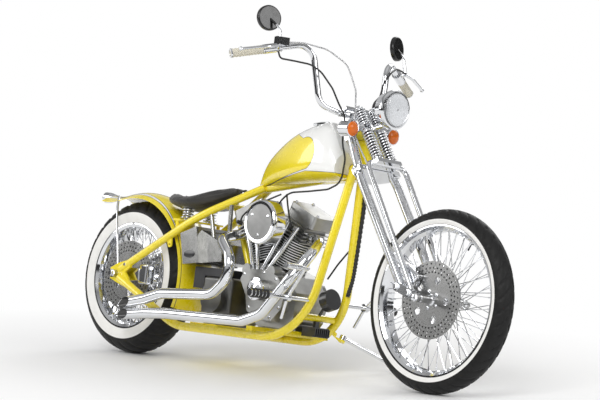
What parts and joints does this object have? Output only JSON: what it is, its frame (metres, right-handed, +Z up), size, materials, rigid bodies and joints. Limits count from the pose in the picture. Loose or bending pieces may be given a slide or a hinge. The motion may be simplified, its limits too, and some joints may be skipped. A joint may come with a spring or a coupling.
{
  "type": "bobber motorcycle",
  "caption": "Rigid-frame bobber motorcycle with a springer fork, V-twin engine, teardrop tank, sprung solo seat and upswept bars, leaning on its side stand.",
  "frame": {"origin": "middle of the footprint, on the floor that both tyres and the side stand touch", "axes": "+X forward, +Y to the rider's left, +Z up; the machine leans 9.8 degrees towards +Y on its side stand"},
  "size_m": [2.3925, 1.0593, 1.4479],
  "materials": {
    "yellow_paint": "gloss",
    "tank_paint": "gloss",
    "chrome": "polished",
    "steel": "brushed",
    "engine_metal": "satin",
    "polished_alloy": "polished",
    "black_metal": "semi-gloss",
    "tyre": "matt",
    "leather": "satin",
    "grip_rubber": "satin",
    "cable_rubber": "satin",
    "braided_line": "braided",
    "headlight_body": "polished",
    "signal_body": "polished",
    "tail_light_body": "polished"
  },
  "bodies": {
    "frame": {"frame_backbone": "yellow_paint", "frame_upper_rails": "yellow_paint", "frame_cradle_tubes": "yellow_paint", "frame_cross_members": "yellow_paint", "fuel_tank": "tank_paint", "seat": "leather", "seat_springs": "chrome", "rear_fender": "yellow_paint", "fender_struts": "chrome", "tail_light": "tail_light_body", "oil_tank": "polished_alloy", "battery_box": "black_metal", "crankcase": "engine_metal", "cylinders": "black_metal", "cylinder_heads": "engine_metal", "pushrod_tubes": "chrome", "air_cleaner": "chrome", "primary_cover": "polished_alloy", "gearbox": "engine_metal", "drive_chain": "steel", "exhaust_pipes": "chrome", "foot_controls": "chrome", "horn": "black_metal", "regulator": "black_metal", "rear_axle": "steel", "rear_caliper": "chrome"},
    "rear_wheel": {"rear_tyre": "tyre", "rear_rim": "chrome", "rear_spokes": "chrome", "rear_hub": "chrome", "rear_brake_disc": "steel", "rear_sprocket": "steel"},
    "steering": {"rigid_fork": "chrome", "spring_fork": "chrome", "fork_rockers": "chrome", "fork_springs": "chrome", "front_axle": "steel", "handlebar": "chrome", "handlebar_grips": "grip_rubber", "hand_levers": "chrome", "mirrors": "black_metal", "headlight": "headlight_body", "turn_signals": "signal_body", "front_caliper": "chrome", "front_brake_line": "braided_line", "control_cables": "cable_rubber"},
    "front_wheel": {"front_tyre": "tyre", "front_rim": "chrome", "front_spokes": "chrome", "front_hub": "chrome", "front_brake_disc": "steel"},
    "side_stand": {"side_stand": "chrome"}
  },
  "joints": [
    {"name": "steering", "type": "hinge", "parent": "frame", "child": "steering", "pos_m": [0.36032, -0.03636, 0.8494], "axis": [-0.5736, 0.1395, 0.8072], "range_deg": [-25, 25], "deforming": ["control_cables"]},
    {"name": "front_wheel_spin", "type": "hinge", "parent": "steering", "child": "front_wheel", "pos_m": [0.8503, -0.12413, 0.34163], "axis": [0, 0.9854, -0.1703], "continuous": true},
    {"name": "rear_wheel_spin", "type": "hinge", "parent": "frame", "child": "rear_wheel", "pos_m": [-0.8763, -0.12847, 0.31657], "axis": [0, 0.9854, -0.1703], "continuous": true},
    {"name": "side_stand", "type": "hinge", "parent": "frame", "child": "side_stand", "pos_m": [0.2157, -0.01071, 0.14068], "axis": [0.0421, 0.5465, 0.8364], "range_deg": [0, 110]}
  ]
}
